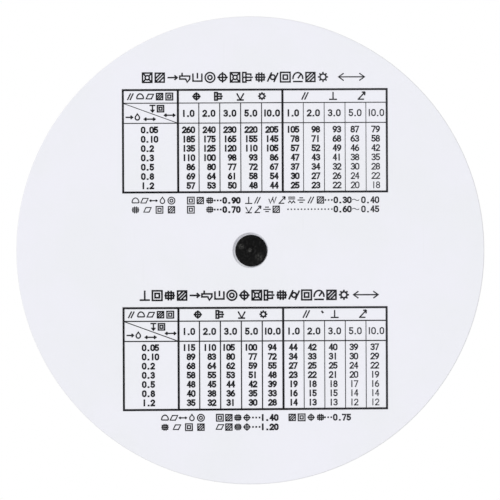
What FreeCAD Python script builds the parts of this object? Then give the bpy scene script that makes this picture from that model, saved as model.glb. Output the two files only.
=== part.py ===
import FreeCAD, Part
import math
import os

# Circular slide rule: a white base disc with a bonded outer scale ring, a turning inner disc flush
# with that ring, and a clear cursor, all on one snap pivot. Millimetres, +Z out of the dial face.
# The origin is the middle of the back face, which the rule lies on.

# Base disc and outer ring
rule_diameter = 110.0
back_disc_thickness = 1.5
rim_break = 0.18
outer_ring_width = 12.8
bond_film_thickness = 0.10
bond_film_margin = 0.8

# Inner disc, which fills the ring but for a gap
inner_disc_thickness = 1.0
ring_gap = 0.20
edge_break = 0.10

# Slip washers
disc_washer_diameter = 22.0
disc_washer_thickness = 0.20
cursor_washer_thickness = 0.15
cursor_washer_margin = 1.0
thrust_washer_thickness = 0.10
axial_play = 0.03

# Clear cursor
cursor_thickness = 1.0
cursor_hub_margin = 3.2
cursor_root_width = 15.0
cursor_tip_width = 11.0
cursor_rim_setback = 0.7
cursor_tip_round = 1.6
cursor_web_round = 5.0
cursor_edge_break = 0.22
cursor_reading = 2.0
hairline_width = 0.20
hairline_depth = 0.12
hairline_clearance = 0.01
hairline_end_margin = 1.1

# Pivot stud. Its head sits a little off its shank, so the gap round it in the recess is uneven.
stud_diameter = 4.0
head_diameter = 7.5
head_thickness = 0.55
head_setback = 0.05
head_edge_round = 0.30
head_off_centre_x = -0.20
head_off_centre_y = -0.08
gate_dish_diameter = 2.2
gate_floor_diameter = 1.6
gate_dish_depth = 0.10
gate_nub_diameter = 0.8
gate_nub_height = 0.12
gate_nub_round = 0.08
recess_gap = 0.38
recess_edge_break = 0.08
bead_height = 0.18
bead_length = 0.60
stud_tip_length = 0.15
split_width = 0.55
split_depth = 1.60

# Pivot bush
bush_wall = 0.98
fit_clearance = 0.02
running_clearance = 0.05
bush_flat_depth = 0.40

# Wave spring
spring_clearance = 0.20
spring_width = 1.4
spring_thickness = 0.15
spring_height = 0.45
spring_waves = 3
spring_points_per_wave = 16

# Pivot cap
cap_pocket_clearance = 0.30
cap_wall = 1.1
cap_lift = 0.06
cap_crown = 0.90
cap_edge_round = 0.55
cap_dimple_diameter = 5.0
cap_dimple_depth = 0.12

# Radii that follow from the sizes above
rule_radius = rule_diameter / 2
ring_inner_radius = rule_radius - outer_ring_width
inner_disc_radius = ring_inner_radius - ring_gap
stud_radius = stud_diameter / 2
stud_bore_radius = stud_radius + fit_clearance
bush_radius = stud_bore_radius + bush_wall
running_bore_radius = bush_radius + running_clearance
head_radius = head_diameter / 2
recess_radius = head_radius + recess_gap
spring_inner_radius = bush_radius + spring_clearance
spring_outer_radius = spring_inner_radius + spring_width
cap_pocket_radius = spring_outer_radius + cap_pocket_clearance
cap_radius = cap_pocket_radius + cap_wall
cursor_hub_radius = cap_radius + cursor_hub_margin
cursor_reach = rule_radius - cursor_rim_setback
cursor_washer_radius = cursor_hub_radius - cursor_washer_margin

# Heights of the stack, from the back face up
recess_depth = head_setback + head_thickness
base_top = back_disc_thickness
film_top = base_top + bond_film_thickness
disc_washer_top = base_top + disc_washer_thickness
disc_bottom = disc_washer_top + axial_play
disc_top = disc_bottom + inner_disc_thickness
cursor_washer_bottom = disc_top + axial_play
cursor_washer_top = cursor_washer_bottom + cursor_washer_thickness
cursor_bottom = cursor_washer_top + axial_play
cursor_top = cursor_bottom + cursor_thickness
cap_bottom = cursor_top + cap_lift
thrust_bottom = cursor_top + axial_play
thrust_top = thrust_bottom + thrust_washer_thickness
bush_top = thrust_top + axial_play
spring_top = thrust_top + spring_height
pocket_top = spring_top + fit_clearance
cap_top = pocket_top + cap_crown
bead_bottom = pocket_top - bead_length / 2
bead_top = bead_bottom + bead_length
stud_top = bead_top + stud_tip_length

up = FreeCAD.Vector(0, 0, 1)
centre = FreeCAD.Vector(0, 0, 0)


def cylinder(radius, bottom, top):
    return Part.makeCylinder(radius, top - bottom, FreeCAD.Vector(0, 0, bottom))


def tube(outer, inner, bottom, top):
    return cylinder(outer, bottom, top).cut(cylinder(inner, bottom, top))


def turned(points):
    """The solid that a closed outline of (radius, height) points makes about the axis."""
    corners = [FreeCAD.Vector(radius, 0, height) for radius, height in points]
    outline = Part.makePolygon(corners + corners[:1])
    return Part.Face(outline).revolve(centre, up, 360)


def chamfered_plate(outer, inner, bottom, top, outer_break, inner_break):
    """A flat ring whose upper edges are broken, as punched and tumbled sheet is."""
    return turned([
        (inner, bottom),
        (outer, bottom),
        (outer, top - outer_break),
        (outer - outer_break, top),
        (inner + inner_break, top),
        (inner, top - inner_break),
    ])


def circle_edges(shape, radius, height):
    """The round edges of a shape at one radius and height, for a fillet or chamfer."""
    found = []
    for edge in shape.Edges:
        if not isinstance(edge.Curve, Part.Circle):
            continue
        same_radius = abs(edge.Curve.Radius - radius) < 1e-6
        same_height = abs(edge.Curve.Center.z - height) < 1e-6
        if same_radius and same_height:
            found.append(edge)
    return found


def double_flat_bar(radius, bottom, top):
    """A round bar with the bush's two flats along X, which the keyed washers fit."""
    flat = radius - bush_flat_depth
    block = Part.makeBox(
        2 * radius, 2 * flat, top - bottom, FreeCAD.Vector(-radius, -flat, bottom)
    )
    return cylinder(radius, bottom, top).common(block)


def make_back_disc():
    disc = turned([
        (0, 0),
        (rule_radius - rim_break, 0),
        (rule_radius, rim_break),
        (rule_radius, base_top),
        (0, base_top),
    ])
    recess = turned([
        (0, 0),
        (recess_radius + recess_edge_break, 0),
        (recess_radius, recess_edge_break),
        (recess_radius, recess_depth),
        (0, recess_depth),
    ])
    return disc.cut(recess).cut(cylinder(stud_bore_radius, 0, base_top))


def make_bond_film():
    return tube(rule_radius - bond_film_margin, ring_inner_radius + bond_film_margin, base_top, film_top)


def make_outer_ring():
    return chamfered_plate(rule_radius, ring_inner_radius, film_top, disc_top, rim_break, edge_break)


def make_disc_washer():
    return tube(disc_washer_diameter / 2, running_bore_radius, base_top, disc_washer_top)


def make_inner_disc():
    return chamfered_plate(
        inner_disc_radius, running_bore_radius, disc_bottom, disc_top, edge_break, edge_break
    )


def keyed_washer(radius, bottom, top):
    bore = double_flat_bar(bush_radius + fit_clearance, bottom, top)
    return cylinder(radius, bottom, top).cut(bore)


def make_cursor_washer():
    return keyed_washer(cursor_washer_radius, cursor_washer_bottom, cursor_washer_top)


def make_thrust_washer():
    return keyed_washer(spring_outer_radius, thrust_bottom, thrust_top)


def along_arm(shape):
    """Turns what was drawn along +X to the cursor's place, where its hairline reads cursor_reading."""
    angle = 90 - 360 * math.log10(cursor_reading)
    shape.rotate(centre, up, angle)
    return shape


def hairline_bar(shrunk):
    """The bar along the arm's middle that the groove takes, less a clearance on each wall."""
    start = cap_radius + hairline_end_margin + shrunk
    length = cursor_reach - hairline_end_margin - shrunk - start
    width = hairline_width - 2 * shrunk
    corner = FreeCAD.Vector(start, -width / 2, cursor_bottom)
    return Part.makeBox(length, width, hairline_depth - shrunk, corner)


def make_hairline():
    return along_arm(hairline_bar(hairline_clearance))


def cursor_outline():
    """The cursor's plate before its bore: a round hub with a tapered arm that ends on the rim's arc."""
    root = cursor_root_width / 2
    tip = cursor_tip_width / 2
    end = rule_radius + cursor_tip_width
    taper = (root - tip) / cursor_reach
    end_half = root - taper * end
    corners = [(0, -root), (end, -end_half), (end, end_half), (0, root)]
    points = [FreeCAD.Vector(x, y, cursor_bottom) for x, y in corners]
    arm = Part.Face(Part.makePolygon(points + points[:1])).extrude(up * cursor_thickness)
    arm = arm.common(cylinder(cursor_reach, cursor_bottom, cursor_top))
    plate = arm.fuse(cylinder(cursor_hub_radius, cursor_bottom, cursor_top)).removeSplitter()
    return plate


def upright_edges(shape, nearest, farthest):
    """The straight edges along Z whose distance from the axis lies between the two."""
    found = []
    for edge in shape.Edges:
        if not isinstance(edge.Curve, Part.Line):
            continue
        start, end = edge.Vertexes[0].Point, edge.Vertexes[-1].Point
        upright = abs(start.x - end.x) < 1e-6 and abs(start.y - end.y) < 1e-6
        distance = math.hypot(start.x, start.y)
        if upright and nearest < distance < farthest and start.x > 0:
            found.append(edge)
    return found


def make_cursor():
    plate = cursor_outline()
    middle = (cursor_hub_radius + cursor_reach) / 2
    plate = plate.makeFillet(cursor_tip_round, upright_edges(plate, middle, rule_radius))
    plate = plate.makeFillet(cursor_web_round, upright_edges(plate, bush_radius, middle))
    top_edges = [
        edge for edge in plate.Edges
        if all(abs(vertex.Z - cursor_top) < 1e-6 for vertex in edge.Vertexes)
    ]
    plate = plate.makeChamfer(cursor_edge_break, top_edges)
    plate = plate.cut(cylinder(running_bore_radius, cursor_bottom, cursor_top))
    return along_arm(plate.cut(hairline_bar(0)))


def wave_curve(radius, lift):
    """A closed curve round the axis that rises and falls with the spring's waves."""
    swing = (spring_height - spring_thickness) / 2
    steps = spring_waves * spring_points_per_wave
    points = []
    for step in range(steps):
        turn = 2 * math.pi * step / steps
        height = thrust_top + swing + lift + swing * math.cos(spring_waves * turn)
        points.append(FreeCAD.Vector(radius * math.cos(turn), radius * math.sin(turn), height))
    curve = Part.BSplineCurve()
    curve.interpolate(Points=points, PeriodicFlag=True)
    return curve.toShape()


def make_wave_spring():
    inner_low = wave_curve(spring_inner_radius, 0)
    outer_low = wave_curve(spring_outer_radius, 0)
    inner_high = wave_curve(spring_inner_radius, spring_thickness)
    outer_high = wave_curve(spring_outer_radius, spring_thickness)
    pairs = [
        (inner_low, outer_low),
        (outer_low, outer_high),
        (outer_high, inner_high),
        (inner_high, inner_low),
    ]
    shell = Part.makeShell([Part.makeRuledSurface(first, second) for first, second in pairs])
    shell.sewShape()
    spring = Part.makeSolid(shell)
    if spring.Volume < 0:
        spring.reverse()
    return spring


def make_bush():
    lower = cylinder(bush_radius, base_top, cursor_washer_bottom)
    upper = double_flat_bar(bush_radius, cursor_washer_bottom, bush_top)
    return lower.fuse(upper).cut(cylinder(stud_bore_radius, base_top, bush_top)).removeSplitter()


def bead_outline(grown):
    """The snap bead's outline on the stud, or with a clearance the groove that it snaps into."""
    core = stud_radius + grown
    crest = core + bead_height
    crest_bottom = bead_bottom + bead_height
    return [
        (core, bead_bottom - grown),
        (crest, crest_bottom - grown),
        (crest, bead_top - bead_height + grown),
        (core, bead_top + grown),
    ]


def make_head():
    """The stud's flat head, with the dished gate mark and its nub in the middle."""
    head = cylinder(head_radius, head_setback, recess_depth)
    head = head.makeFillet(head_edge_round, circle_edges(head, head_radius, head_setback))
    dish_floor = head_setback + gate_dish_depth
    dish = turned([
        (0, head_setback),
        (gate_dish_diameter / 2, head_setback),
        (gate_floor_diameter / 2, dish_floor),
        (0, dish_floor),
    ])
    nub_radius = gate_nub_diameter / 2
    nub_bottom = dish_floor - gate_nub_height
    nub = cylinder(nub_radius, nub_bottom, recess_depth)
    nub = nub.makeFillet(gate_nub_round, circle_edges(nub, nub_radius, nub_bottom))
    head = head.cut(dish).fuse(nub).removeSplitter()
    head.translate(FreeCAD.Vector(head_off_centre_x, head_off_centre_y, 0))
    return head


def make_stud():
    tip = stud_radius - bead_height
    shank = turned(
        [(0, recess_depth), (stud_radius, recess_depth)]
        + bead_outline(0)
        + [(tip, stud_top), (0, stud_top)]
    )
    slot = Part.makeBox(
        2 * stud_diameter,
        split_width,
        split_depth,
        FreeCAD.Vector(-stud_diameter, -split_width / 2, stud_top - split_depth),
    )
    return make_head().fuse(shank.cut(slot)).removeSplitter()


def make_cap():
    body = cylinder(cap_radius, cap_bottom, cap_top)
    body = body.makeFillet(cap_edge_round, circle_edges(body, cap_radius, cap_top))
    pocket = tube(cap_pocket_radius, bush_radius, cap_bottom, pocket_top)
    seat = cylinder(bush_radius, cap_bottom, bush_top)
    socket_top = stud_top + fit_clearance
    socket = turned(
        [(0, bush_top), (stud_bore_radius, bush_top)]
        + bead_outline(fit_clearance)
        + [(stud_bore_radius, socket_top), (0, socket_top)]
    )
    dimple_radius = cap_dimple_diameter / 2
    dimple = turned([
        (0, cap_top - cap_dimple_depth),
        (dimple_radius - cap_dimple_depth, cap_top - cap_dimple_depth),
        (dimple_radius, cap_top),
        (0, cap_top),
    ])
    return body.cut(pocket).cut(seat).cut(socket).cut(dimple)


pieces = {
    "back_disc": make_back_disc,
    "ring_bond_film": make_bond_film,
    "outer_scale_ring": make_outer_ring,
    "disc_slip_washer": make_disc_washer,
    "inner_scale_disc": make_inner_disc,
    "cursor_slip_washer": make_cursor_washer,
    "cursor": make_cursor,
    "cursor_hairline": make_hairline,
    "thrust_washer": make_thrust_washer,
    "wave_spring": make_wave_spring,
    "pivot_bush": make_bush,
    "pivot_stud": make_stud,
    "pivot_cap": make_cap,
}

os.makedirs("parts", exist_ok=True)
for name, make in pieces.items():
    shape = make()
    solids = shape.Solids
    print(name, "solids", len(solids), "valid", shape.isValid(), "volume", round(shape.Volume, 3))
    solid = solids[0] if len(solids) == 1 else Part.makeCompound(solids)
    solid.exportStep(f"parts/{name}.step")
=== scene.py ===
import bpy
import math
from mathutils import Matrix, Vector


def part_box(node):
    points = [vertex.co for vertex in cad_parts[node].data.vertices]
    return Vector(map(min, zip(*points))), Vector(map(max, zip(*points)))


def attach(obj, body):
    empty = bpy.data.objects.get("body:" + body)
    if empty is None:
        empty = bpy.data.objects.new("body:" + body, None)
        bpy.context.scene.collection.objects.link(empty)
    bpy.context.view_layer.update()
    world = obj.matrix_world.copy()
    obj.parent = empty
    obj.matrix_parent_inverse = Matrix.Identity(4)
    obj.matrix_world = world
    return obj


# Circular slide rule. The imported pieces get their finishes, and the printing on both faces is
# laid on as ink. Flat work is drawn in millimetres and becomes metres where its mesh is made.

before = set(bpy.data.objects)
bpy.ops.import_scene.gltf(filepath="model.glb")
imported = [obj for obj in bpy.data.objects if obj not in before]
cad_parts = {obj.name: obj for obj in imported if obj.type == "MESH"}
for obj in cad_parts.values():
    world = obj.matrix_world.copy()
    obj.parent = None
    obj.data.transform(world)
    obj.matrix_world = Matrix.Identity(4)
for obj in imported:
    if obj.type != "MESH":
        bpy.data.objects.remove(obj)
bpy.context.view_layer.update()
mm = 0.001

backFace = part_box("back_disc")[0].z
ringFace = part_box("outer_scale_ring")[1].z
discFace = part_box("inner_scale_disc")[1].z
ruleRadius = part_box("back_disc")[1].y


# Camera, as the photograph was taken: square to the back face, from far off

view = {"lens": 200.0, "sensor": 36.0, "fieldWidth": 0.11747, "centre": (0.00007, 0.00007)}

distance = view["fieldWidth"] * view["lens"] / view["sensor"]
standing = (*view["centre"], backFace - distance)
bpy.ops.object.camera_add(location=standing, rotation=(0, math.pi, 0))
camera = bpy.context.object
camera.name = "backCamera"
camera.data.lens = view["lens"]
camera.data.sensor_width = view["sensor"]
camera.data.clip_start = 0.01
camera.data.clip_end = 60
bpy.context.scene.camera = camera
bpy.context.scene.view_settings.view_transform = "Standard"


# Nodes

def addNode(tree, kind, values=None, **settings):
    node = tree.nodes.new(kind)
    for setting, value in settings.items():
        setattr(node, setting, value)
    for socket, value in (values or {}).items():
        if isinstance(value, bpy.types.NodeSocket):
            tree.links.new(value, node.inputs[socket])
        else:
            node.inputs[socket].default_value = value
    return node


def combine(tree, operation, first, second=0.0, clamp=False):
    settings = {"operation": operation, "use_clamp": clamp}
    return addNode(tree, "ShaderNodeMath", {0: first, 1: second}, **settings).outputs[0]


def remap(tree, value, low, high, toLow=0.0, toHigh=1.0):
    limits = {"Value": value, "From Min": low, "From Max": high, "To Min": toLow, "To Max": toHigh}
    node = addNode(tree, "ShaderNodeMapRange", limits, interpolation_type="SMOOTHSTEP")
    return node.outputs["Result"]


def blendColors(tree, factor, first, second):
    node = addNode(tree, "ShaderNodeMix", {"Factor": factor, 6: first, 7: second}, data_type="RGBA")
    return node.outputs[2]


def noise(tree, vector, scale, detail=2.0, roughness=0.5, distortion=0.0):
    values = {"Vector": vector, "Scale": scale, "Detail": detail, "Roughness": roughness}
    values["Distortion"] = distortion
    return addNode(tree, "ShaderNodeTexNoise", values).outputs["Fac"]


def newGroup(name, inputs, outputs):
    group = bpy.data.node_groups.new(name, "ShaderNodeTree")
    for label, kind, value in inputs:
        socket = group.interface.new_socket(label, in_out="INPUT", socket_type="NodeSocket" + kind)
        if value is not None:
            socket.default_value = value
    for label in outputs:
        group.interface.new_socket(label, in_out="OUTPUT", socket_type="NodeSocketFloat")
    into = group.nodes.new("NodeGroupInput").outputs
    out = group.nodes.new("NodeGroupOutput").inputs
    return group, into, out


def placeGroup(tree, group, values):
    return addNode(tree, "ShaderNodeGroup", values, node_tree=group).outputs


# Effects that several finishes share. A noise is (per metre, detail, roughness), or the last two.
# A span is where its mask begins and where it is full.

grainLook = {"fine": (3.0, 0.6), "tone": (42.0, 4.0, 0.55), "toneSpan": (0.35, 0.65)}


def buildGrain():
    inputs = [("Vector", "Vector", None), ("Grains per metre", "Float", 4000.0)]
    group, into, out = newGroup("plasticGrain", inputs, ["Height", "Tone"])
    fine = noise(group, into["Vector"], into["Grains per metre"], *grainLook["fine"])
    tone = noise(group, into["Vector"], *grainLook["tone"])
    group.links.new(fine, out["Height"])
    group.links.new(remap(group, tone, *grainLook["toneSpan"]), out["Tone"])
    return group


# Scuffs are noise drawn out along three directions, kept to a few patches
scuffLook = {
    "patches": (60.0, 2.0, 0.5),
    "patchSpan": (0.5, 0.66),
    "directions": ((0.5, 30.0), (1.9, 22.0), (2.75, 40.0)),  # (turn, how far drawn out)
    "lines": (1.0, 0.5),
    "lineSpan": (0.68, 0.75),
    "waver": 0.4,
}


def buildScuffs():
    inputs = [
        ("Vector", "Vector", None),
        ("Lines per metre", "Float", 900.0),
        ("Amount", "Float", 0.5),
    ]
    group, into, out = newGroup("handlingScuffs", inputs, ["Mask"])
    patches = noise(group, into["Vector"], *scuffLook["patches"])
    where = remap(group, patches, *scuffLook["patchSpan"])
    perMetre, waver = into["Lines per metre"], scuffLook["waver"]
    strongest = 0.0
    for turn, drawnOut in scuffLook["directions"]:
        placing = {"Rotation": (0, 0, turn), "Scale": (1.0, 1.0 / drawnOut, 1.0)}
        turned = addNode(group, "ShaderNodeMapping", {"Vector": into["Vector"], **placing})
        streaks = noise(group, turned.outputs["Vector"], perMetre, *scuffLook["lines"], waver)
        lines = remap(group, streaks, *scuffLook["lineSpan"])
        strongest = combine(group, "MAXIMUM", lines, strongest)
    mask = combine(group, "MULTIPLY", strongest, where)
    group.links.new(combine(group, "MULTIPLY", mask, into["Amount"]), out["Mask"])
    return group


# Turning marks are noise drawn out round a centre
turningLook = {"perRadian": 1.3, "ringSpan": (0.6, 0.74)}


def buildTurningMarks():
    inputs = [
        ("Vector", "Vector", None),
        ("Centre", "Vector", None),
        ("Rings per metre", "Float", 2200.0),
    ]
    group, into, out = newGroup("turningMarks", inputs, ["Mask", "Radius"])
    ends = {0: into["Vector"], 1: into["Centre"]}
    moved = addNode(group, "ShaderNodeVectorMath", ends, operation="SUBTRACT").outputs[0]
    parts = addNode(group, "ShaderNodeSeparateXYZ", {0: moved}).outputs
    squares = [combine(group, "MULTIPLY", parts[axis], parts[axis]) for axis in ("X", "Y")]
    radius = combine(group, "SQRT", combine(group, "ADD", *squares))
    turn = combine(group, "ARCTAN2", parts["Y"], parts["X"])
    turn = combine(group, "MULTIPLY", turn, turningLook["perRadian"])
    rings = combine(group, "MULTIPLY", radius, into["Rings per metre"])
    wound = addNode(group, "ShaderNodeCombineXYZ", {"X": rings, "Y": turn}).outputs[0]
    marks = remap(group, noise(group, wound, 1.0), *turningLook["ringSpan"])
    group.links.new(marks, out["Mask"])
    group.links.new(radius, out["Radius"])
    return group


grain = buildGrain()
scuffs = buildScuffs()
turningMarks = buildTurningMarks()


# Finishes

def newMaterial(name, values):
    material = bpy.data.materials.new(name)
    material.use_nodes = True
    tree = material.node_tree
    shader = tree.nodes["Principled BSDF"]
    for socket, value in values.items():
        shader.inputs[socket].default_value = value
    place = addNode(tree, "ShaderNodeTexCoord").outputs["Object"]
    return material, tree, shader.inputs, place


def placeGrain(tree, place, own):
    return placeGroup(tree, grain, {"Vector": place, "Grains per metre": own["grainsPerMetre"]})


def placeScuffs(tree, place, own):
    values = {"Vector": place, "Lines per metre": own["scuffsPerMetre"], "Amount": own["scuffs"]}
    return placeGroup(tree, scuffs, values)["Mask"]


def bumpInto(tree, sockets, height, own):
    values = {"Height": height, "Strength": own["bump"], "Distance": own["grainDepth"]}
    bump = addNode(tree, "ShaderNodeBump", values)
    tree.links.new(bump.outputs["Normal"], sockets["Normal"])


whiteSheet = {
    "color": (0.858, 0.859, 0.92, 1.0),
    "handled": (0.842, 0.851, 0.892, 1.0),
    "rubbed": (0.70, 0.70, 0.71, 1.0),
    "sawnEdge": (0.83, 0.835, 0.85, 1.0),
    "edgeWidth": 0.0002,
    "roughness": (0.38, 0.55),
    "grainsPerMetre": 9000.0,
    "grainDepth": 0.000004,
    "bump": 0.35,
    "scuffsPerMetre": 1500.0,
    "scuffs": 0.6,
    "turningRubs": 0.5,
    "rubShows": 0.12,
    "rubDepth": 0.8,
}


def makeWhiteSheet(name, turns):
    own = whiteSheet
    material, tree, sockets, place = newMaterial(name, {"IOR": 1.53, "Specular IOR Level": 0.35})
    sheet = placeGrain(tree, place, own)
    worn = placeScuffs(tree, place, own)
    turning = placeGroup(tree, turningMarks, {"Vector": place})
    if turns:
        rubs = combine(tree, "MULTIPLY", turning["Mask"], own["turningRubs"])
        worn = combine(tree, "ADD", worn, rubs, True)
    tinted = blendColors(tree, sheet["Tone"], own["color"], own["handled"])
    shows = combine(tree, "MULTIPLY", worn, own["rubShows"])
    rubbed = blendColors(tree, shows, tinted, own["rubbed"])
    rim = remap(tree, turning["Radius"], ruleRadius - own["edgeWidth"], ruleRadius)
    tree.links.new(blendColors(tree, rim, rubbed, own["sawnEdge"]), sockets["Base Color"])
    tree.links.new(remap(tree, worn, 0.0, 1.0, *own["roughness"]), sockets["Roughness"])
    dents = combine(tree, "MULTIPLY", worn, own["rubDepth"])
    bumpInto(tree, sockets, combine(tree, "SUBTRACT", sheet["Height"], dents), own)
    return material


blackMoulding = {
    "color": (0.0046, 0.0046, 0.0048, 1.0),
    "pale": (0.08, 0.08, 0.076, 1.0),
    "roughness": (0.42, 0.6),
    "grainsPerMetre": 5200.0,
    "grainDepth": 0.00002,
    "bump": 0.5,
    "scuffsPerMetre": 2400.0,
    "scuffs": 0.35,
    "speckNoise": (1900.0, 5.0, 0.65),
    "speckSpan": (0.47, 0.8),
    "patchNoise": (2100.0, 3.0, 0.7),
    "patchSpan": (0.38, 0.6),
    "spotCore": 0.3,  # the share of a pale spot's radius that is at full strength
}

# How far handling has speckled a moulding, and its pale spots: (x, y, radius, strength)
wearAndHighlight = {
    "studMoulding": {
        "specks": 0.3,
        "rubs": [
            # a painted highlight on the stud's gate nub, at its middle; the two after it are rubs
            (0.00008, 0.0, 0.0006, 1.0),
            (0.0021, 0.0009, 0.0009, 0.9),
            (-0.0021, -0.0016, 0.0013, 0.55),
        ],
    },
    "capMoulding": {"specks": 0.16, "rubs": [(0.0011, -0.0016, 0.0016, 0.25)]},
}


def makeBlackMoulding(name):
    own = {**blackMoulding, **wearAndHighlight[name]}
    material, tree, sockets, place = newMaterial(name, {"IOR": 1.5, "Specular IOR Level": 0.14})
    mould = placeGrain(tree, place, own)
    pale = placeScuffs(tree, place, own)
    specks = noise(tree, place, *own["speckNoise"])
    specks = remap(tree, specks, *own["speckSpan"], 0.0, own["specks"])
    pale = combine(tree, "MAXIMUM", pale, specks)
    patches = remap(tree, noise(tree, place, *own["patchNoise"]), *own["patchSpan"])
    # pale spots: rubs, and on the stud a painted highlight at its middle
    for x, y, radius, strength in own["rubs"]:
        away = placeGroup(tree, turningMarks, {"Vector": place, "Centre": (x, y, 0)})["Radius"]
        near = remap(tree, away, radius, radius * own["spotCore"], 0.0, strength)
        pale = combine(tree, "MAXIMUM", pale, combine(tree, "MULTIPLY", near, patches))
    tree.links.new(blendColors(tree, pale, own["color"], own["pale"]), sockets["Base Color"])
    tree.links.new(remap(tree, mould["Tone"], 0.0, 1.0, *own["roughness"]), sockets["Roughness"])
    bumpInto(tree, sockets, mould["Height"], own)
    return material


inks = {
    "backInk": {"dense": (0.004, 0.004, 0.006, 1.0), "thin": (0.045, 0.045, 0.052, 1.0)},
    "dialInk": {"dense": (0.008, 0.008, 0.010, 1.0), "thin": (0.03, 0.03, 0.034, 1.0)},
    "redInk": {"dense": (0.50, 0.012, 0.014, 1.0), "thin": (0.62, 0.045, 0.04, 1.0)},
    "mottleNoise": (2600.0, 3.0, 0.7),
    "mottleSpan": (0.45, 0.75),
    "mottled": 0.5,
    "fadeSpan": (0.008, -0.034),  # the back's ink lies thinner to the reader's right
    "faded": 0.5,
    "roughSpan": (0.3, 0.7),
    "roughness": (0.42, 0.6),
}


def makeInk(name, fades=False):
    own = inks[name]
    material, tree, sockets, place = newMaterial(name, {"Specular IOR Level": 0.2})
    mottle = noise(tree, place, *inks["mottleNoise"])
    thinned = remap(tree, mottle, *inks["mottleSpan"], 0.0, inks["mottled"])
    if fades:
        across = addNode(tree, "ShaderNodeSeparateXYZ", {0: place}).outputs["X"]
        faded = remap(tree, across, *inks["fadeSpan"], 0.0, inks["faded"])
        thinned = combine(tree, "ADD", thinned, faded, True)
    tree.links.new(blendColors(tree, thinned, own["dense"], own["thin"]), sockets["Base Color"])
    rough = remap(tree, mottle, *inks["roughSpan"], *inks["roughness"])
    tree.links.new(rough, sockets["Roughness"])
    return material


clearArm = {
    "tints": ((0.985, 0.995, 0.995, 1.0), (0.975, 0.99, 0.992, 1.0)),
    "lampLight": (0.66, 0.68, 0.685, 1.0),  # what the arm lets through of a lamp
    "roughness": (0.012, 0.22),
    "sawnSpan": (0.95, 0.6),  # of how far the surface faces up or down
    "sawnRoughness": 0.7,
    "sawnSheen": {"Coat IOR": 3.0, "Coat Roughness": 0.4},
    "grainsPerMetre": 120.0,
    "grainDepth": 0.00001,
    "bump": 0.1,
    "scuffsPerMetre": 1800.0,
    "scuffs": 0.7,
}


# Lamps shine through the clear arm, dimmed; its sawn edges are satin and catch the light
def makeClearAcrylic():
    own = clearArm
    values = {"IOR": 1.49, "Transmission Weight": 1.0, **own["sawnSheen"]}
    material, tree, sockets, place = newMaterial("clearAcrylic", values)
    marks = placeScuffs(tree, place, own)
    cast = placeGrain(tree, place, own)
    tree.links.new(blendColors(tree, cast["Tone"], *own["tints"]), sockets["Base Color"])
    facing = addNode(tree, "ShaderNodeNewGeometry").outputs["Normal"]
    upright = addNode(tree, "ShaderNodeSeparateXYZ", {0: facing}).outputs["Z"]
    sawn = remap(tree, combine(tree, "ABSOLUTE", upright), *own["sawnSpan"])
    tree.links.new(sawn, sockets["Coat Weight"])
    rough = remap(tree, marks, 0.0, 1.0, *own["roughness"])
    satin = combine(tree, "MULTIPLY", sawn, own["sawnRoughness"])
    tree.links.new(combine(tree, "ADD", rough, satin), sockets["Roughness"])
    bumpInto(tree, sockets, cast["Height"], own)
    shader = tree.nodes["Principled BSDF"].outputs[0]
    toLamp = addNode(tree, "ShaderNodeLightPath").outputs["Is Shadow Ray"]
    through = addNode(tree, "ShaderNodeBsdfTransparent", {"Color": own["lampLight"]}).outputs[0]
    mixed = addNode(tree, "ShaderNodeMixShader", {0: toLamp, 1: shader, 2: through}).outputs[0]
    tree.links.new(mixed, tree.nodes["Material Output"].inputs["Surface"])
    return material


plainPlastics = {
    "bondFilm": {
        "tints": ((0.7, 0.69, 0.64, 1.0), (0.62, 0.61, 0.56, 1.0)),
        "roughness": (0.5, 0.65),
        "transmission": 0.0,
    },
    "slipFilm": {
        "tints": ((0.82, 0.82, 0.78, 1.0), (0.76, 0.76, 0.72, 1.0)),
        "roughness": (0.2, 0.3),
        "transmission": 0.3,
    },
    "bushPlastic": {
        "tints": ((0.8, 0.79, 0.75, 1.0), (0.75, 0.74, 0.7, 1.0)),
        "roughness": (0.35, 0.5),
        "transmission": 0.0,
    },
    "grainsPerMetre": 2500.0,
    "grainDepth": 0.000004,
    "bump": 0.2,
}


def makePlainPlastic(name):
    own = plainPlastics[name]
    values = {"IOR": 1.5, "Transmission Weight": own["transmission"]}
    material, tree, sockets, place = newMaterial(name, values)
    surface = placeGrain(tree, place, plainPlastics)
    tree.links.new(blendColors(tree, surface["Tone"], *own["tints"]), sockets["Base Color"])
    tree.links.new(remap(tree, surface["Tone"], 0.0, 1.0, *own["roughness"]), sockets["Roughness"])
    bumpInto(tree, sockets, surface["Height"], plainPlastics)
    return material


springSteel = {
    "tints": ((0.56, 0.56, 0.55, 1.0), (0.42, 0.42, 0.41, 1.0)),
    "roughness": (0.24, 0.4),
    "scuffsPerMetre": 6000.0,
    "scuffs": 1.0,
}


def makeSpringSteel():
    own = springSteel
    material, tree, sockets, place = newMaterial("springSteel", {"Metallic": 1.0})
    rolled = placeScuffs(tree, place, own)
    tree.links.new(blendColors(tree, rolled, *own["tints"]), sockets["Base Color"])
    tree.links.new(remap(tree, rolled, 0.0, 1.0, *own["roughness"]), sockets["Roughness"])
    return material


backInk = makeInk("backInk", True)
dialInk = makeInk("dialInk")
redInk = makeInk("redInk")

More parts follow.
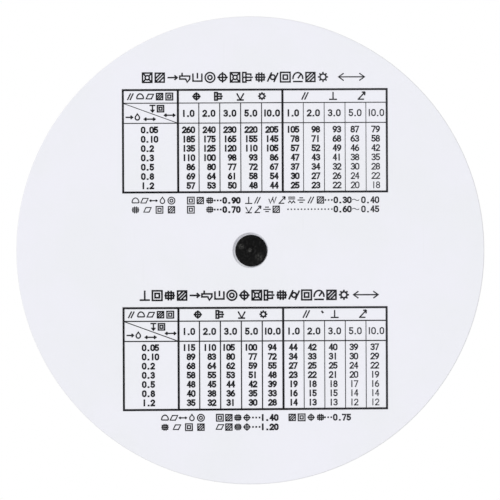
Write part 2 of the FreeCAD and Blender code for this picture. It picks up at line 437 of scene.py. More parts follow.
finishes = {
    "back_disc": makeWhiteSheet("whiteBackSheet", False),
    "outer_scale_ring": makeWhiteSheet("whiteRingSheet", True),
    "inner_scale_disc": makeWhiteSheet("whiteDiscSheet", True),
    "ring_bond_film": makePlainPlastic("bondFilm"),
    "disc_slip_washer": makePlainPlastic("slipFilm"),
    "cursor": makeClearAcrylic(),
    "cursor_hairline": redInk,
    "wave_spring": makeSpringSteel(),
    "pivot_bush": makePlainPlastic("bushPlastic"),
    "pivot_stud": makeBlackMoulding("studMoulding"),
    "pivot_cap": makeBlackMoulding("capMoulding"),
}
finishes["cursor_slip_washer"] = finishes["disc_slip_washer"]
finishes["thrust_washer"] = finishes["disc_slip_washer"]
for node, finish in finishes.items():
    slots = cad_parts[node].data.materials
    slots.clear()
    slots.append(finish)
print("finishes on", len(finishes), "packed pieces")


# Ink. A stroke is (points, width, closed) in millimetres, on a sheet seen square on.

pen = {
    "sunk": 0.03,  # this and the next as shares of a stroke's width
    "proud": 0.055,
    "lift": 0.0006,  # from one level to the next; neighbouring strokes lie on different levels
    "levels": 4,
    "widestCorner": 1.45,
    "sharpestBend": 2.2,
    "weld": 0.00005,
}


def turnedBy(points, x, y, size, degrees):
    turn = math.radians(degrees)
    cos, sin = math.cos(turn) * size, math.sin(turn) * size
    return [(x + across * cos - up * sin, y + across * sin + up * cos) for across, up in points]


def bow(x, y, wide, high, start, end, steps=6):
    turns = [math.radians(start + (end - start) * step / steps) for step in range(steps + 1)]
    return [(x + wide * math.cos(turn), y + high * math.sin(turn)) for turn in turns]


def loop(x, y, wide, high, steps=20):
    return bow(x, y, wide, high, 0, 360, steps)[:-1]


def frameLine(x1, y1, x2, y2):
    return [(x1, y1), (x2, y1), (x2, y2), (x1, y2)]


def lengthen(points, by):
    ends = []
    for end, inner in ((points[0], points[1]), (points[-1], points[-2])):
        span = math.dist(end, inner)
        ends.append(tuple(here + (here - there) * by / span for here, there in zip(end, inner)))
    return [ends[0], *points[1:-1], ends[1]]


def cornerWidth(points, place, closed):
    if not closed and place in (0, len(points) - 1):
        return 1.0
    here, before, after = (Vector(points[(place + step) % len(points)]) for step in (0, -1, 1))
    bend = min((here - before).angle(after - here, 0.0), pen["sharpestBend"])
    return min(pen["widestCorner"], 1 / math.cos(bend / 2))


def newCurve(name):
    bpy.ops.object.select_all(action="DESELECT")
    bpy.ops.curve.primitive_bezier_curve_add()
    curve = bpy.context.object
    curve.name = name
    curve.data.name = name
    curve.data.splines.clear()
    return curve


def addLine(curve, points, closed, lift=0.0, radii=None):
    line = curve.data.splines.new("POLY")
    line.points.add(len(points) - 1)
    line.use_cyclic_u = closed
    for place, (x, y) in enumerate(points):
        line.points[place].co = (x, y, lift, 1)
        line.points[place].radius = radii[place] if radii else 1.0


def layInk(name, strokes, material, body, place):
    nib = newCurve("nib")
    addLine(nib, frameLine(-0.5, -pen["sunk"], 0.5, pen["proud"]), True)
    sheet = newCurve(name)
    sheet.data.dimensions = "3D"
    sheet.data.twist_mode = "Z_UP"
    sheet.data.bevel_mode = "OBJECT"
    sheet.data.bevel_object = nib
    sheet.data.use_fill_caps = True
    for number, (points, width, closed) in enumerate(strokes):
        radii = [width * cornerWidth(points, step, closed) for step in range(len(points))]
        addLine(sheet, points, closed, number % pen["levels"] * pen["lift"], radii)
    bpy.ops.object.convert(target="MESH")
    bpy.ops.object.mode_set(mode="EDIT")
    bpy.ops.mesh.select_all(action="SELECT")
    bpy.ops.mesh.remove_doubles(threshold=pen["weld"])
    bpy.ops.mesh.normals_make_consistent(inside=False)
    bpy.ops.object.mode_set(mode="OBJECT")
    sheet = bpy.context.object
    sheet.data.transform(place @ Matrix.Scale(mm, 4))
    sheet.data.materials.clear()
    sheet.data.materials.append(material)
    bpy.data.objects.remove(nib)
    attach(sheet, body)
    print("laid", name, "from", len(strokes), "strokes,", len(sheet.data.polygons), "faces")


# A shape's parts are open lines or outlines: (points, closed)
def openLine(*points):
    return list(points), False


def outline(points):
    return points, True


# One hand for all the numbers: upright and narrow, in a cell one high and this wide

cell = 0.575


def drawNumerals():
    half = cell / 2
    roof = bow(half, 1 - half, half, half, 0, 180, 7)
    floor = bow(half, half, half, half, 180, 360, 7)
    six = [
        outline(loop(half, 0.3, half, 0.3, 14)),
        openLine(*bow(cell * 0.95, 0.3, cell * 0.95, 0.7, 180, 106)),
    ]
    nine = [([(cell - x, 1 - y) for x, y in points], closed) for points, closed in six]
    return {
        "0": [outline(roof + floor)],
        "1": [openLine((half, 0), (half, 1))],
        "2": [
            openLine(*bow(half, 0.72, half, 0.28, 165, -30, 7), (0, 0)),
            openLine((0, 0), (cell, 0)),
        ],
        "3": [
            openLine(*bow(cell * 0.48, 0.75, cell * 0.48, 0.25, 150, -90)),
            openLine(*bow(cell * 0.48, 0.265, cell * 0.52, 0.265, 90, -150, 7)),
        ],
        "4": [
            openLine((cell * 0.7, 1), (0, 0.3), (cell * 0.98, 0.3)),
            openLine((cell * 0.76, 1), (cell * 0.76, 0)),
        ],
        "5": [
            openLine((cell * 0.12, 1), (cell * 0.92, 1)),
            openLine((cell * 0.12, 1), (cell * 0.13, 0.547)),
            openLine(*bow(cell * 0.47, 0.31, cell * 0.53, 0.31, 130, -150, 8)),
        ],
        "6": six,
        "7": [openLine((0, 1), (cell, 1), (cell * 0.32, 0))],
        "8": [
            outline(loop(half, 0.755, cell * 0.43, 0.245, 12)),
            outline(loop(half, 0.27, half, 0.27, 14)),
        ],
        "9": nine,
        ".": [openLine((half + side, -0.01), (half + side, 0.01)) for side in (-0.03, 0.03)],
    }


def drawScaleLetters():
    half = cell / 2
    return {
        "A": [openLine((0, 0), (half, 1), (cell, 0)), openLine((0.1, 0.33), (cell - 0.1, 0.33))],
        "C": [openLine(*bow(half, 0.5, half, 0.5, 50, 310, 9))],
        "D": [
            openLine(*bow(0.05, 0.5, cell, 0.5, 90, -90, 7), (0.05, 0)),
            openLine((0.05, 0), (0.05, 1)),
        ],
        "I": [openLine((half, 0), (half, 1))],
        "K": [
            openLine((0, 0), (0, 1)),
            openLine((cell, 1), (0, 0.42)),
            openLine((0.2, 0.58), (cell, 0)),
        ],
        "L": [openLine((0, 1), (0, 0)), openLine((0, 0), (cell, 0))],
    }


figures = {**drawNumerals(), **drawScaleLetters()}


# Text is set from a point: its left end, right end or middle, at half its height
def writeFigures(strokes, text, at, height, pitch, width, side="middle", degrees=0.0):
    tall = height - width
    span = (len(text) - 1) * pitch
    glyph = cell * tall
    starts = {
        "left": width / 2,
        "right": -span - glyph - width / 2,
        "middle": -span / 2 - glyph / 2,
    }
    for place, figure in enumerate(text):
        start = starts[side] + place * pitch
        for points, closed in figures[figure]:
            flat = [(start + x * tall, (y - 0.5) * tall) for x, y in points]
            flat = flat if closed else lengthen(flat, width / 2)
            strokes.append((turnedBy(flat, *at, 1.0, degrees), width, closed))


# Symbols from machine drawings, in a box from -0.5 to 0.5. They stand where the back has its words.
def drawSymbols():
    teeth = [math.radians(45 * tooth) for tooth in range(8)]
    blade = [(-0.48, 0.14), (0.46, 0.14), (0.46, -0.14)]
    blade += [(0.22, -0.44), (0.08, -0.14), (-0.48, -0.14)]
    return {
        "position": [
            outline(loop(0, 0, 0.34, 0.34)),
            openLine((-0.5, 0), (0.5, 0)),
            openLine((0, -0.5), (0, 0.5)),
        ],
        "concentric": [outline(loop(0, 0, 0.46, 0.46, 24)), outline(loop(0, 0, 0.2, 0.2, 14))],
        "perpendicular": [
            openLine((-0.48, -0.42), (0.48, -0.42)),
            openLine((0, -0.42), (0, 0.48)),
        ],
        "parallel": [
            openLine((-0.4, -0.45), (0.05, 0.45)),
            openLine((-0.05, -0.45), (0.4, 0.45)),
        ],
        "cylindricity": [
            outline(loop(0, 0, 0.22, 0.22, 14)),
            openLine((-0.5, -0.42), (-0.1, 0.46)),
            openLine((0.1, -0.46), (0.5, 0.42)),
        ],
        "flatness": [outline([(-0.5, -0.3), (-0.2, 0.32), (0.5, 0.32), (0.2, -0.3)])],
        "profile": [
            openLine(*bow(0, -0.28, 0.46, 0.66, 0, 180, 12)),
            openLine((-0.46, -0.28), (0.46, -0.28)),
        ],
        "symmetry": [openLine((-x, y), (x, y)) for x, y in ((0.26, 0.3), (0.5, 0), (0.26, -0.3))],
        "runout": [
            openLine((-0.4, -0.42), (0.38, 0.42)),
            openLine((0.02, 0.42), (0.42, 0.46)),
            openLine((0.42, 0.46), (0.36, 0.04)),
            openLine((-0.48, -0.42), (0.3, -0.42)),
        ],
        "counterbore": [
            openLine((-0.42, 0.38), (-0.42, -0.34), (0.42, -0.34), (0.42, 0.38)),
            openLine((0, -0.1), (0, 0.44)),
        ],
        "countersink": [
            openLine((-0.42, 0.35), (0.0, -0.42), (0.42, 0.35)),
            openLine((-0.42, -0.45), (0.42, -0.45)),
        ],
        "depth": [
            openLine((-0.4, 0.44), (0.4, 0.44)),
            openLine((0, 0.44), (0, -0.42)),
            openLine((-0.26, -0.12), (0, -0.44), (0.26, -0.12)),
        ],
        "finish": [
            openLine((-0.5, 0.2), (-0.3, -0.4), (0.1, 0.46)),
            openLine((0.02, 0.2), (0.2, -0.4), (0.5, 0.46)),
        ],
        "hatched": [
            outline(frameLine(-0.42, -0.42, 0.42, 0.42)),
            openLine((-0.42, -0.1), (0.1, 0.42)),
            openLine((-0.42, -0.42), (0.42, 0.42)),
            openLine((-0.1, -0.42), (0.42, 0.1)),
        ],
        "nested": [
            outline(frameLine(-0.45, -0.45, 0.45, 0.45)),
            outline(frameLine(-0.2, -0.2, 0.2, 0.2)),
        ],
        "centred": [
            outline(frameLine(-0.36, -0.26, 0.36, 0.26)),
            openLine((-0.5, 0), (0.5, 0)),
            openLine((-0.12, -0.46), (-0.12, 0.46)),
            openLine((0.14, -0.46), (0.14, 0.46)),
        ],
        "thread": [
            openLine((-0.46, 0.4), (0.46, 0.4)),
            openLine((-0.46, 0.16), (0.46, 0.16)),
            openLine((-0.46, -0.4), (-0.24, -0.1), (0, -0.4), (0.24, -0.1), (0.46, -0.4)),
        ],
        "gear": [
            outline(loop(0, 0, 0.28, 0.28, 16)),
            *(
                openLine(*((far * math.cos(turn), far * math.sin(turn)) for far in (0.3, 0.48)))
                for turn in teeth
            ),
        ],
        "bearing": [
            outline(frameLine(-0.44, -0.44, 0.44, 0.44)),
            outline(loop(0, 0, 0.2, 0.2, 14)),
            *(
                openLine(*((x * far, y * far) for far in (0.44, 0.15)))
                for x, y in frameLine(-1, -1, 1, 1)
            ),
        ],
        "tool": [outline(blade), openLine((-0.26, 0.14), (-0.26, 0.46))],
        "chuck": [
            outline(frameLine(-0.46, -0.45, -0.16, 0.45)),
            openLine((-0.16, 0.3), (0.3, 0.3), (0.3, 0.12)),
            openLine((-0.16, -0.3), (0.3, -0.3), (0.3, -0.12)),
            openLine((-0.46, 0), (0.5, 0)),
        ],
        "gauge": [
            openLine(*bow(0, -0.12, 0.46, 0.54, -8, 188, 14)),
            openLine((0, -0.12), (0.26, 0.24)),
            openLine((-0.46, -0.42), (0.46, -0.42)),
        ],
        "feed": [
            openLine((-0.46, 0), (0.44, 0)),
            openLine((0.2, 0.22), (0.46, 0), (0.2, -0.22)),
        ],
        "drop": [
            openLine(*bow(0, -0.06, 0.3, 0.32, 130, 410, 14)),
            openLine((-0.18, 0.2), (0, 0.46), (0.18, 0.2)),
        ],
        "size": [
            openLine((-0.5, 0), (0.5, 0)),
            openLine((-0.3, 0.14), (-0.5, 0), (-0.3, -0.14)),
            openLine((0.3, 0.14), (0.5, 0), (0.3, -0.14)),
        ],
        "swung": [
            openLine(
                *bow(-0.25, -0.06, 0.25, 0.16, 175, 10),
                *bow(0.25, 0.06, 0.25, 0.16, 190, 355),
            ),
        ],
    }


symbols = drawSymbols()


def drawSymbol(strokes, name, x, y, size, width):
    for points, closed in symbols[name]:
        strokes.append((turnedBy(points, x, y, size, 0), width, closed))


def drawRow(strokes, names, left, right, y, size, width):
    names = names.split()
    step = (right - left - size) / (len(names) - 1)
    for place, name in enumerate(names):
        drawSymbol(strokes, name, left + size / 2 + place * step, y, size, width)


# The back's two ruled tables, seen square on: across to the right and up, from the disc's middle

tables = {
    "depths": (1.0, 2.0, 3.0, 5.0, 10.0),
    "feeds": ("0.05", "0.10", "0.2", "0.3", "0.5", "0.8", "1.2"),
    "tilt": 0.25,
    "labelLeft": -25.6,
    "labelBold": 0.38,
    "figureHeight": 1.62,
    "figurePitch": 1.0,
    "bold": (14.0, 0.372, 29.0, 0.275),  # figures thin from one width to the other between these
    "thinning": 0.014,  # the right-hand figures lose this much with each row down
    "headHeight": 1.68,
    "headPitch": {3: 0.97, 4: 0.98},  # this and the next by how many characters a number has
    "headShift": {3: -0.09, 4: -0.17},
    "headDrop": 0.06,
    "slantBold": 0.8,  # as a share of the lines across
    "wordSize": 1.75,
    "headWords": "parallel profile flatness hatched nested",
    "headWordsSpan": (-28.9, -18.0),
    "headWordsBold": 0.305,
    "titleSize": 2.5,
    "groupSize": 1.95,
    "groupBold": (0.37, 0.31),
    "cornerBold": 0.315,
    "noteHeight": 1.6,
    "notePitch": 1.06,
    "noteBoldShare": 1.08,
    "dotPitch": 0.75,
    "longDots": 3.0,  # a row of dots this long or longer is finer
    "longDotsShare": 0.8,
    "swungBold": 0.17,
    "fleck": ((16.65, -14.3), (17.1, -14.8)),  # of ink, in the lower table's head
    "fleckBold": 0.42,
}

sharedTitle = (
    "feed tool counterbore concentric position bearing chuck centred"
    " cylindricity nested gauge hatched gear"
)
groupSymbols = ("position", "chuck", "countersink", "gear", "parallel", "perpendicular", "runout")

# What stands either side of the slanting line: (symbol, across, below the head's upper line, size)
cornerSymbols = (
    ("depth", -22.84, 1.3, 1.75),
    ("nested", -20.95, 1.3, 1.65),
    ("size", -18.8, 2.85, 2.5),
    ("feed", -28.35, 3.3, 1.8),
    ("drop", -26.4, 3.3, 1.7),
    ("size", -23.5, 3.75, 2.6),
)

upperTable = {
    "left": -29.8,
    "divide": -16.87,
    "middle": 7.70,
    "right": 32.19,
    "top": 37.75,
    "lines": (34.66, 29.93),
    "bottom": 13.70,
    "slant": 0.0,
    "frame": 0.465,
    "heavy": 0.50,
    "fine": (0.225, 0.175, 0.225),  # columns of the first and the second group, and lines across
    "firstRow": 1.56,
    "rowPitch": 2.185,
    "speeds": ((62, 0.48, 0.11), (27, 0.46, 0.13)),  # base, and powers of feed and depth
    # How far a column's figures end before the line after it, in each group
    "insets": ((0.88, 0.95, 1.0, 0.95, 0.96), (0.94, 0.95, 0.9, 1.58, 1.6)),
    "titleUp": 40.65,
    "titleSpan": (-25.3, 18.5),
    "title": "bearing hatched " + sharedTitle,
    "titleBold": 0.35,
    "unitSpan": (20.9, 27.0),
    "unitBold": 0.28,
    "groups": (-12.5, -7.3, -2.2, 2.9, 13.0, 19.6, 26.3),
    "noteBold": 0.25,
}

lowerTable = {
    "left": -29.85,
    "divide": -16.95,
    "middle": 7.65,
    "right": 31.96,
    "top": -13.49,
    "lines": (-16.59, -21.31),
    "bottom": -37.34,
    "slant": 0.095,  # the lower frame line was laid a little askew
    "frame": 0.48,
    "heavy": 0.50,
    "fine": (0.275, 0.20, 0.275),
    "firstRow": 1.485,
    "rowPitch": 2.158,
    "speeds": ((37, 0.38, 0.09), (15, 0.36, 0.08)),
    "insets": ((0.97, 1.0, 1.5, 1.2, 1.54), (1.49, 1.89, 1.84, 1.85, 1.8)),
    "titleUp": -10.55,
    "titleSpan": (-26.1, 23.2),
    "title": "perpendicular nested centred hatched " + sharedTitle,
    "titleBold": 0.395,
    "unitSpan": (24.2, 30.0),
    "unitBold": 0.32,
    "groups": (-12.4, -7.2, -2.1, 3.0, 13.1, 19.75, 26.4),
    "noteBold": 0.28,
}


def boldness(across, row=3):
    start, full, end, light = tables["bold"]
    share = min(1.0, max(0.0, (across - start) / (end - start)))
    return full + (light + tables["thinning"] * (3 - row) - full) * share


# The numbers are worked out from round values, and are no guide to work from
def speedAt(speeds, feed, depth):
    base, byFeed, byDepth = speeds
    value = base * float(feed) ** -byFeed * depth ** -byDepth
    return 5 * round(value / 5) if value > 100 else round(value)


def ruleTable(strokes, own):
    left, divide, middle, right = (own[edge] for edge in ("left", "divide", "middle", "right"))
    top, bottom, slant = own["top"], own["bottom"], own["slant"]
    first, second, acrossWidth = own["fine"]
    corners = [(left, bottom - slant), (right, bottom + slant), (right, top), (left, top)]
    strokes.append((corners, own["frame"], True))
    for across in (divide, middle):
        strokes.append(([(across, bottom), (across, top)], own["heavy"], False))
    for up in own["lines"]:
        strokes.append(([(left, up), (right, up)], acrossWidth, False))
    slanting = [(left, own["lines"][0]), (divide, own["lines"][1])]
    strokes.append((slanting, acrossWidth * tables["slantBold"], False))
    for start, end, width in ((divide, middle, first), (middle, right, second)):
        for column in range(1, 5):
            across = start + (end - start) * column / 5
            strokes.append(([(across, bottom), (across, own["lines"][0])], width, False))


def fillTable(strokes, own):
    head = (own["lines"][0] + own["lines"][1]) / 2 - tables["headDrop"]
    rows = [own["lines"][1] - own["firstRow"] - number * own["rowPitch"] for number in range(7)]
    tall, pitch = tables["figureHeight"], tables["figurePitch"]
    for feed, up in zip(tables["feeds"], rows):
        at = (tables["labelLeft"], up)
        writeFigures(strokes, feed, at, tall, pitch, tables["labelBold"], "left")
    for group, (start, end) in enumerate((("divide", "middle"), ("middle", "right"))):
        wide = (own[end] - own[start]) / 5
        for column, depth in enumerate(tables["depths"]):
            lineAfter = own[start] + wide * (column + 1)
            text = f"{depth:.1f}"
            at = (lineAfter - wide / 2 + tables["headShift"][len(text)], head)
            headPitch = tables["headPitch"][len(text)]
            writeFigures(strokes, text, at, tables["headHeight"], headPitch, boldness(lineAfter))
            for row, feed in enumerate(tables["feeds"]):
                speed = str(speedAt(own["speeds"][group], feed, depth))
                at = (lineAfter - own["insets"][group][column], rows[row])
                writeFigures(strokes, speed, at, tall, pitch, boldness(lineAfter, row), "right")


def headTable(strokes, own):
    up = (own["top"] + own["lines"][0]) / 2
    first, second = tables["groupBold"]
    for name, across in zip(groupSymbols, own["groups"]):
        bold = first if across < own["middle"] else second
        drawSymbol(strokes, name, across, up, tables["groupSize"], bold)
    span, bold = tables["headWordsSpan"], tables["headWordsBold"]
    drawRow(strokes, tables["headWords"], *span, up, tables["wordSize"], bold)
    span, bold = own["titleSpan"], own["titleBold"]
    drawRow(strokes, own["title"], *span, own["titleUp"], tables["titleSize"], bold)
    start, end = own["unitSpan"]
    middle = (start + end) / 2
    drawSymbol(strokes, "size", middle, own["titleUp"], end - start, own["unitBold"])
    for name, across, drop, size in cornerSymbols:
        up = own["lines"][0] - drop
        drawSymbol(strokes, name, across, up, size, tables["cornerBold"])


# Notes under the tables: (what, left, right, up); figures, a row of symbols or leader dots

notes = [
    ("profile flatness size drop concentric", -27.8, -17.6, 11.75),
    ("nested hatched centred", -14.8, -8.6, 11.75),
    ("dots", -8.3, -6.9, 11.75),
    ("0.90", -6.5, 0, 11.75),
    ("perpendicular parallel", -1.2, 2.6, 11.75),
    ("finish runout thread symmetry parallel hatched", 4.4, 17.4, 11.75),
    ("dots", 17.7, 19.2, 11.75),
    ("0.30", 19.6, 0, 11.75),
    ("to", 24.0, 25.6, 11.75),
    ("0.40", 26.1, 0, 11.75),
    ("centred flatness nested hatched", -27.8, -17.6, 9.6),
    ("nested centred", -14.8, -8.6, 9.6),
    ("dots", -8.3, -6.9, 9.6),
    ("0.70", -6.5, 0, 9.6),
    ("countersink runout symmetry hatched", -1.2, 7.0, 9.6),
    ("dots", 8.9, 19.2, 9.6),
    ("0.60", 19.6, 0, 9.6),
    ("to", 24.0, 25.6, 9.6),
    ("0.45", 26.1, 0, 9.6),
    ("profile flatness size drop concentric", -21.1, -10.9, -39.3),
    ("nested hatched centred position", -8.2, -0.1, -39.3),
    ("dots", 0.45, 2.0, -39.3),
    ("1.40", 2.2, 0, -39.3),
    ("hatched nested position centred", 8.8, 17.2, -39.3),
    ("dots", 17.4, 18.85, -39.3),
    ("0.75", 19.25, 0, -39.3),
    ("centred flatness nested hatched", -21.1, -10.9, -41.5),
    ("flatness hatched centred position", -8.2, -0.1, -41.5),
    ("dots", 0.45, 2.0, -41.5),
    ("1.20", 2.2, 0, -41.5),
]


def drawDots(strokes, left, right, up, bold):
    size = bold if right - left < tables["longDots"] else bold * tables["longDotsShare"]
    count = max(3, round((right - left) / tables["dotPitch"]))
    for number in range(count):
        across = left + (right - left) * number / (count - 1)
        strokes.append(([(across - size / 2, up), (across + size / 2, up)], size, False))


def writeNotes(strokes):
    tall, pitch = tables["noteHeight"], tables["notePitch"]
    for what, left, right, up in notes:
        bold = boldness(left) * tables["noteBoldShare"]
        if what[0].isdigit():
            writeFigures(strokes, what, (left, up), tall, pitch, bold, "left")
        elif what == "dots":
            drawDots(strokes, left, right, up, bold)
        elif what == "to":
            middle = (left + right) / 2
            drawSymbol(strokes, "swung", middle, up, right - left, tables["swungBold"])
        else:
            own = upperTable if up > 0 else lowerTable
            drawRow(strokes, what, left, right, up, tables["wordSize"], own["noteBold"])


def printBack():
    strokes = []
    for own in (upperTable, lowerTable):
        ruleTable(strokes, own)
        fillTable(strokes, own)
        headTable(strokes, own)
    writeNotes(strokes)
    strokes.append((list(tables["fleck"]), tables["fleckBold"], False))
    facing = Matrix.Rotation(math.pi, 4, "Y")
    tilted = Matrix.Rotation(math.radians(tables["tilt"]), 4, "Z")
    place = Matrix.Translation((0, 0, backFace)) @ facing @ tilted
    layInk("backPrint", strokes, backInk, "base", place)


printBack()


# The front's scales run clockwise from the top. Radii and lengths are in millimetres, and ticks
# go outward (1) or inward (-1) from a scale's edge.

dial = {
    "D": {"edge": 42.35, "out": 1, "long": 2.4, "figures": 46.35, "size": 2.1, "turns": 1},
    "K": {"edge": 54.0, "out": -1, "long": 2.1, "figures": 50.55, "size": 1.75, "turns": 3},
    "C": {"edge": 41.85, "out": -1, "long": 2.4, "figures": 37.9, "size": 2.1, "turns": 1},
    "CI": {"edge": 36.2, "out": -1, "long": 1.9, "figures": 32.95, "size": 1.7, "turns": 1},
    "A": {"edge": 31.5, "out": -1, "long": 1.8, "figures": 28.35, "size": 1.75, "turns": 2},
    "L": {"edge": 26.7, "out": -1, "long": 1.6, "figures": 23.75, "size": 1.5, "turns": 1},
    "nameAt": {"D": -4.6, "K": -4.6, "C": -4.6, "CI": 5.4, "A": -6.2, "L": -7.4},
    "ringCircle": 48.35,
    "innerCircles": (21.9, 21.2),
    "circleSteps": 180,
    "circle": 0.14,
    "tick": 0.13,
    "mainTick": 0.19,
    "figure": 0.28,
    "pitch": 0.62,  # this and the next three as shares of the figures' size
    "nameSize": 1.05,
    "halfSize": 0.85,
    "tenthSize": 0.72,
    "nameBold": 1.2,  # this and the next two as shares of the figures' width
    "tenthBold": 0.85,
    "linearBold": 0.9,
    "linearTicks": (1.0, 0.75, 0.45),
    "logTicks": (1.0, 0.8, 0.66, 0.54, 0.38),
}


def around(radius, clockwise):
    turn = math.radians(90 - clockwise)
    return radius * math.cos(turn), radius * math.sin(turn)


def drawTick(strokes, scale, clockwise, share):
    start = scale["edge"]
    end = start + scale["out"] * scale["long"] * share
    width = dial["mainTick"] if share == 1.0 else dial["tick"]
    strokes.append(([around(start, clockwise), around(end, clockwise)], width, False))


def writeAround(strokes, scale, text, clockwise, sizeShare=1.0, boldShare=1.0):
    at = around(scale["figures"], clockwise)
    size, bold = scale["size"] * sizeShare, dial["figure"] * boldShare
    writeFigures(strokes, text, at, size, size * dial["pitch"], bold, "middle", -clockwise)


def drawCircle(strokes, radius):
    strokes.append((loop(0, 0, radius, radius, dial["circleSteps"]), dial["circle"], True))


def tickShare(count, start, step):
    whole, half, tenth, middling, least = dial["logTicks"]
    if count % 100 == 0:
        return whole
    if count % 50 == 0 or (start == 100 and count % 10 == 0):
        return half
    if count % 10 == 0:
        return tenth
    return middling if step == 1 and count % 5 == 0 else least


# One decade's ticks as whole numbers from 100: (start, end, step), by how much room a turn gives it
fineTicks = ((100, 200, 1), (200, 400, 2), (400, 1000, 5))
coarseTicks = ((100, 200, 2), (200, 500, 5), (500, 1000, 10))


def drawLogScale(strokes, name, backwards=False):
    scale = dial[name]
    turn = 360 / scale["turns"] * (-1 if backwards else 1)
    for decade in range(scale["turns"]):
        for start, end, step in fineTicks if scale["turns"] == 1 else coarseTicks:
            for count in range(start, end, step):
                clockwise = turn * (decade + math.log10(count / 100))
                drawTick(strokes, scale, clockwise, tickShare(count, start, step))


def writeLogFigures(strokes, name, backwards=False):
    scale = dial[name]
    turn = 360 / scale["turns"] * (-1 if backwards else 1)
    values = [1, 2, 3, 4, 5, 6, 7, 8, 9] if scale["turns"] == 1 else [1, 1.5, 2, 3, 4, 5, 6, 8]
    halves = [2.5, 3.5, 4.5] if scale["turns"] == 1 else []
    for decade in range(scale["turns"]):
        for value in values + halves:
            clockwise = turn * (decade + math.log10(value))
            sizeShare = dial["halfSize"] if value in halves else 1
            writeAround(strokes, scale, f"{value * 10 ** decade:g}", clockwise, sizeShare)
    for tenth in range(1, 10) if scale["turns"] == 1 else ():
        clockwise = turn * math.log10(1 + tenth / 10)
        shares = (dial["tenthSize"], dial["tenthBold"])
        writeAround(strokes, scale, f"1.{tenth}", clockwise, *shares)


def nameScale(strokes, name):
    shares = (dial["nameSize"], dial["nameBold"])
    writeAround(strokes, dial[name], name, dial["nameAt"][name], *shares)


def printRing():
    strokes = []
    for name in ("D", "K"):
        drawLogScale(strokes, name)
        writeLogFigures(strokes, name)
        nameScale(strokes, name)
    for radius in (dial["ringCircle"], dial["K"]["edge"]):
        drawCircle(strokes, radius)
    place = Matrix.Translation((0, 0, ringFace))
    layInk("ringPrint", strokes, dialInk, "base", place)


def printDisc():
    strokes = []
    for name in ("C", "A"):
        drawLogScale(strokes, name)
        writeLogFigures(strokes, name)
        nameScale(strokes, name)
    scale = dial["L"]
    whole, half, least = dial["linearTicks"]
    for count in range(200):
        share = whole if count % 20 == 0 else half if count % 10 == 0 else least
        drawTick(strokes, scale, 360 * count / 200, share)
    for tenth in range(10):
        text = f"0.{tenth}" if tenth else "0"
        writeAround(strokes, scale, text, 360 * tenth / 10, 1.0, dial["linearBold"])
    nameScale(strokes, "L")
    for radius in (dial["A"]["edge"], dial["L"]["edge"], *dial["innerCircles"]):
        drawCircle(strokes, radius)
    place = Matrix.Translation((0, 0, discFace))
    layInk("discPrint", strokes, dialInk, "turning_disc", place)

    red = []
    drawLogScale(red, "CI", True)
    writeLogFigures(red, "CI", True)
    nameScale(red, "CI")
    drawCircle(red, dial["CI"]["edge"])
    layInk("discRedPrint", red, redInk, "turning_disc", place)


printRing()
printDisc()


# Floor, world and lamps. The floor is seen only from above, and stops no light on its way to
# the back face.

studio = {
    "floorDrop": 0.0004,
    "floorSize": 40.0,
    "floorColor": (0.80, 0.80, 0.81, 1.0),
    "ambient": 0.6,
    "horizon": 0.785,
    "skyFrom": 0.1,
    "skyTo": 0.8,
    "suns": {
        "keyBelow": {"from": (0.6, 0.3, -0.75), "strength": 1.24, "spread": 30},
        "fillBelow": {"from": (-0.45, -0.35, -0.8), "strength": 0.45, "spread": 60},
        "keyAbove": {"from": (-0.45, -0.4, 0.8), "strength": 1.15, "spread": 30},
        "fillAbove": {"from": (0.6, 0.3, 0.7), "strength": 0.45, "spread": 60},
    },
}


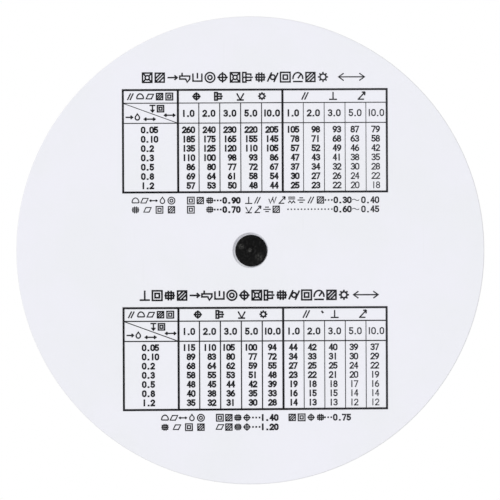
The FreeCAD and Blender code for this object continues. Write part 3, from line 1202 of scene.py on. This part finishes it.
def makeFloor():
    under = (0, 0, backFace - studio["floorDrop"])
    bpy.ops.mesh.primitive_plane_add(size=studio["floorSize"], location=under)
    floor = bpy.context.object
    floor.name = "floor"
    material = bpy.data.materials.new("palePaper")
    material.use_nodes = True
    tree = material.node_tree
    tree.nodes.clear()
    path = addNode(tree, "ShaderNodeLightPath").outputs
    behind = addNode(tree, "ShaderNodeNewGeometry").outputs["Backfacing"]
    unseen = combine(tree, "MAXIMUM", path["Is Shadow Ray"], path["Is Diffuse Ray"])
    unseen = combine(tree, "MAXIMUM", unseen, behind)
    paper = addNode(tree, "ShaderNodeBsdfDiffuse", {"Color": studio["floorColor"]}).outputs[0]
    clear = addNode(tree, "ShaderNodeBsdfTransparent").outputs[0]
    mixed = addNode(tree, "ShaderNodeMixShader", {0: unseen, 1: paper, 2: clear}).outputs[0]
    addNode(tree, "ShaderNodeOutputMaterial", {"Surface": mixed})
    floor.data.materials.append(material)


# The camera, gloss and clear pieces see a bright sky; what lights the pieces is the plain ambient
def makeWorld():
    world = bpy.data.worlds.new("studio")
    bpy.context.scene.world = world
    world.use_nodes = True
    tree = world.node_tree
    path = addNode(tree, "ShaderNodeLightPath").outputs
    seen = combine(tree, "MAXIMUM", path["Is Glossy Ray"], path["Is Transmission Ray"])
    seen = combine(tree, "MAXIMUM", seen, path["Is Camera Ray"])
    scattered = combine(tree, "SUBTRACT", 1.0, path["Diffuse Depth"], True)
    seen = combine(tree, "MULTIPLY", seen, scattered)
    upward = addNode(tree, "ShaderNodeTexCoord").outputs["Generated"]
    upward = addNode(tree, "ShaderNodeSeparateXYZ", {0: upward}).outputs["Z"]
    sky = remap(tree, upward, studio["skyFrom"], studio["skyTo"], studio["horizon"], 1.0)
    ambient = studio["ambient"]
    extra = combine(tree, "MULTIPLY", seen, combine(tree, "SUBTRACT", sky, ambient))
    background = tree.nodes["Background"]
    background.inputs["Color"].default_value = (1, 1, 1, 1)
    tree.links.new(combine(tree, "ADD", extra, ambient), background.inputs["Strength"])


def makeLamps():
    for name, values in studio["suns"].items():
        aim = Vector(values["from"]).to_track_quat("Z", "Y").to_euler()
        bpy.ops.object.light_add(type="SUN", location=values["from"], rotation=aim)
        lamp = bpy.context.object
        lamp.name = name
        lamp.data.energy = values["strength"]
        lamp.data.angle = math.radians(values["spread"])


makeFloor()
makeWorld()
makeLamps()
print("floor, world and", len(studio["suns"]), "lamps")
